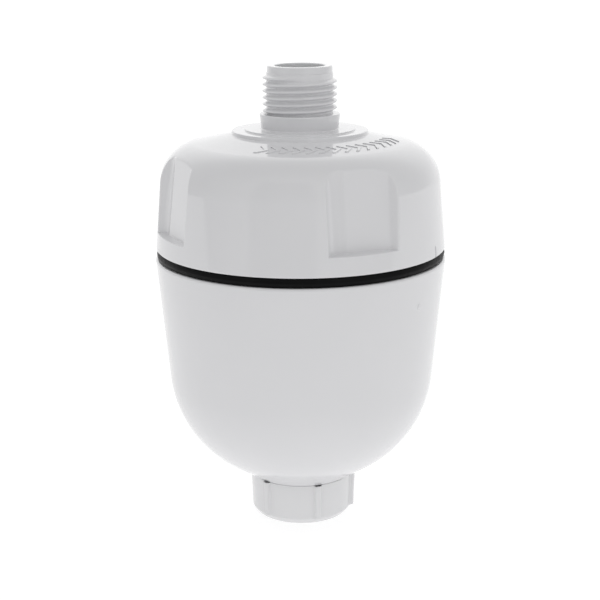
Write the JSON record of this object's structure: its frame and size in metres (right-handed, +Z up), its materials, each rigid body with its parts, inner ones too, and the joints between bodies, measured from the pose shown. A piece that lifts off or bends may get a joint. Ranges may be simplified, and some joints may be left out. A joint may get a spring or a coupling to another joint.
{
  "type": "in-line shower water filter",
  "caption": "Round-bottomed filter housing with a screwed cap, a threaded outlet, a swivel inlet nut and a drop-in cartridge.",
  "frame": {"origin": "centre of the swivel nut's open end, the face the filter stands on", "axes": "+Z up the common axis from the inlet nut to the outlet; -Y towards the side with the turn marks"},
  "size_m": [0.0826, 0.0826, 0.131],
  "materials": {
    "housing_white": "gloss",
    "cap_white": "gloss",
    "nut_white": "gloss",
    "inner_plastic": "satin",
    "band_rubber": "satin",
    "seal_rubber": "matte",
    "mesh_steel": "satin",
    "regulator_green": "satin",
    "felt": "matte",
    "sulfite_beads": "matte",
    "copper_zinc_granules": "matte",
    "carbon_granules": "matte"
  },
  "bodies": {
    "housing": {"bowl_shell": "housing_white", "inlet_tailpiece": "inner_plastic", "tailpiece_oring": "seal_rubber", "nut_washer": "seal_rubber", "inlet_strainer": "mesh_steel", "housing_oring": "band_rubber"},
    "nut": {"swivel_nut": "nut_white"},
    "cartridge": {"cartridge_shell": "inner_plastic", "cartridge_bottom_cap": "inner_plastic", "cartridge_top_cap": "inner_plastic", "cartridge_spigot_oring": "seal_rubber", "bottom_screen": "mesh_steel", "bottom_felt": "felt", "sulfite_bed": "sulfite_beads", "lower_divider": "mesh_steel", "copper_zinc_bed": "copper_zinc_granules", "upper_divider": "mesh_steel", "carbon_bed": "carbon_granules", "top_felt": "felt", "top_screen": "mesh_steel"},
    "cap": {"cap_shell": "cap_white", "flow_regulator_body": "regulator_green", "flow_regulator_oring": "seal_rubber"}
  },
  "joints": [
    {"name": "nut_swivel", "type": "hinge", "parent": "housing", "child": "nut", "pos_m": [0, 0, 0.0055], "axis": [0, 0, 1], "continuous": true},
    {"name": "cap_rise", "type": "slide", "parent": "housing", "child": "cartridge", "axis": [0, 0, 1], "range_m": [0, 0.0075]},
    {"name": "cap_turn", "type": "hinge", "parent": "cartridge", "child": "cap", "pos_m": [0, 0, 0.095], "axis": [0, 0, 1], "range_deg": [0, 900]}
  ],
  "couplings": [
    {"joint": "cap_rise", "follows": "cap_turn", "m_per_rad": 0.00047746}
  ]
}
